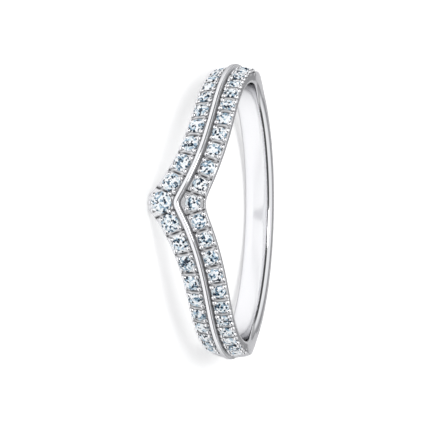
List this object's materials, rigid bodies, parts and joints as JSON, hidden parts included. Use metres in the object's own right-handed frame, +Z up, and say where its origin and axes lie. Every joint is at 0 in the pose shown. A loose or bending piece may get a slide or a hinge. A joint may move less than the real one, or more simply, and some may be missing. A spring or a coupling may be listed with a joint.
{
  "type": "chevron ring",
  "caption": "Band ring that comes to a point in front, with a raised polished rail between two rows of small round stones and a plain shank behind the finger.",
  "frame": {"origin": "centre of the bounding box at floor level, with the ring lying on its side", "axes": "+Z up, -Y towards the chevron's point, +X to the right as seen from in front of the point; the finger axis leans 8.85 degrees from +Z towards +Y"},
  "size_m": [0.0196, 0.0196, 0.0048],
  "materials": {
    "white_gold": "polished",
    "stone": "cut and polished"
  },
  "bodies": {
    "root": {"band": "white_gold", "point_stone": "stone", "valley_stone": "stone", "outer_left_stone_1": "stone", "outer_right_stone_1": "stone", "outer_left_stone_2": "stone", "outer_right_stone_2": "stone", "outer_left_stone_3": "stone", "outer_right_stone_3": "stone", "outer_left_stone_4": "stone", "outer_right_stone_4": "stone", "outer_left_stone_5": "stone", "outer_right_stone_5": "stone", "outer_left_stone_6": "stone", "outer_right_stone_6": "stone", "outer_left_stone_7": "stone", "outer_right_stone_7": "stone", "outer_left_stone_8": "stone", "outer_right_stone_8": "stone", "outer_left_stone_9": "stone", "outer_right_stone_9": "stone", "outer_left_stone_10": "stone", "outer_right_stone_10": "stone", "inner_left_stone_1": "stone", "inner_right_stone_1": "stone", "inner_left_stone_2": "stone", "inner_right_stone_2": "stone", "inner_left_stone_3": "stone", "inner_right_stone_3": "stone", "inner_left_stone_4": "stone", "inner_right_stone_4": "stone", "inner_left_stone_5": "stone", "inner_right_stone_5": "stone", "inner_left_stone_6": "stone", "inner_right_stone_6": "stone", "inner_left_stone_7": "stone", "inner_right_stone_7": "stone", "inner_left_stone_8": "stone", "inner_right_stone_8": "stone", "inner_left_stone_9": "stone", "inner_right_stone_9": "stone", "inner_left_stone_10": "stone", "inner_right_stone_10": "stone", "inner_left_stone_11": "stone", "inner_right_stone_11": "stone"}
  },
  "joints": []
}
